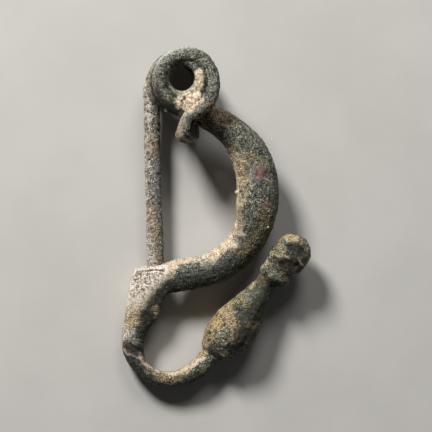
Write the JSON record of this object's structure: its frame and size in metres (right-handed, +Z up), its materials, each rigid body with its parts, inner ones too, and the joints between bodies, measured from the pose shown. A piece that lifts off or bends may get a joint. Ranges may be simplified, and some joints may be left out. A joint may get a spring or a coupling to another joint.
{
  "type": "fibula brooch",
  "caption": "Small bronze bow brooch of one rod: a coiled spring, a round pin held in a folded catch, an arched bow, and a foot bent back in a loop that ends in a bulb, collar and knob.",
  "frame": {"origin": "centre of the bounding box's footprint, on the ground the brooch rests on", "axes": "+Y from the foot loop towards the spring, +X from the pin towards the crown of the bow, +Z up, out of the side that faces the viewer"},
  "size_m": [0.0238, 0.0424, 0.0113],
  "materials": {
    "patinated_bronze": "dull, corroded and pitted grey-green patina with pale soil left in the hollows"
  },
  "bodies": {
    "root": {"fibula": "patinated_bronze"}
  },
  "joints": []
}
